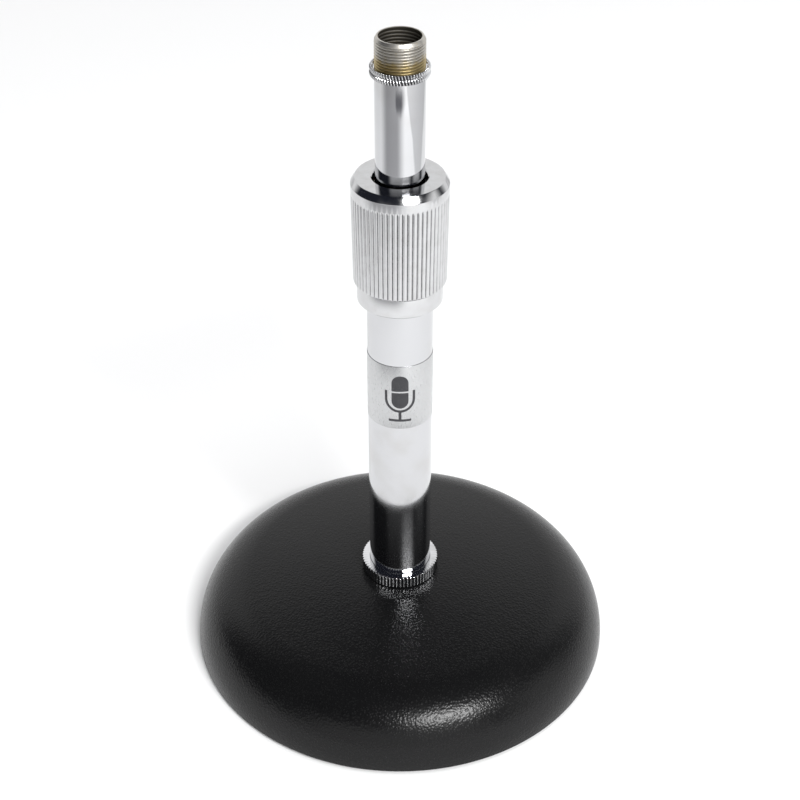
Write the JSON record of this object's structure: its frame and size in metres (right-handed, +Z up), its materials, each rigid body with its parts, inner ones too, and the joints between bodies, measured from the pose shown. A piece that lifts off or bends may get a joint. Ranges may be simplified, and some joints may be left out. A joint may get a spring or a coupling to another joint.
{
  "type": "desk microphone stand",
  "caption": "Short telescoping microphone stand: round weighted base, two nested tubes, a knurled twist clutch that locks the height, and a threaded top for a microphone holder",
  "frame": {"origin": "centre of the plane that the feet stand on, on the axis of the column", "axes": "+Z up along the column, -Y towards the front where the label is, +X to the right"},
  "size_m": [0.1524, 0.1524, 0.238],
  "materials": {
    "textured_black": "black coating with a fine leathery texture",
    "polished_chrome": "bright plating",
    "satin_chrome": "satin plating on a turned casting",
    "worn_brass": "plated brass, worn through at the lower turns",
    "spring_steel": "oiled spring steel",
    "nylon": "natural nylon",
    "black_rubber": "moulded rubber",
    "foil": "thin printed foil"
  },
  "bodies": {
    "stand": {"base_casting": "textured_black", "base_foot_1": "black_rubber", "base_foot_2": "black_rubber", "base_foot_3": "black_rubber", "base_foot_4": "black_rubber", "base_lock_ring": "polished_chrome", "outer_tube": "polished_chrome", "tube_label": "foil", "tube_bumper": "black_rubber", "clutch_body": "satin_chrome"},
    "collet": {"clutch_collet": "nylon"},
    "mast": {"inner_tube": "polished_chrome", "guide_bush": "nylon", "bush_clip_lower": "spring_steel", "bush_clip_upper": "spring_steel", "thread_fitting": "worn_brass"},
    "ring": {"thread_ring": "polished_chrome"},
    "thrust": {"clutch_washer": "spring_steel"},
    "grip": {"clutch_sleeve": "satin_chrome"}
  },
  "joints": [
    {"name": "mast_turn", "type": "hinge", "parent": "stand", "child": "collet", "pos_m": [0, 0, 0.17], "axis": [0, 0, 1], "continuous": true},
    {"name": "height_slide", "type": "slide", "parent": "collet", "child": "mast", "axis": [0, 0, 1], "range_m": [-0.033, 0.092]},
    {"name": "ring_run", "type": "slide", "parent": "mast", "child": "ring", "axis": [0, 0, 1], "range_m": [0, 0.0075]},
    {"name": "clutch_turn", "type": "hinge", "parent": "thrust", "child": "grip", "pos_m": [0, 0, 0.17], "axis": [0, 0, 1], "range_deg": [0, 181]},
    {"name": "clutch_lift", "type": "slide", "parent": "stand", "child": "thrust", "axis": [0, 0, 1], "range_m": [0, 0.00075]}
  ],
  "couplings": [
    {"joint": "clutch_turn", "follows": "clutch_lift", "rad_per_m": 4188.8}
  ]
}
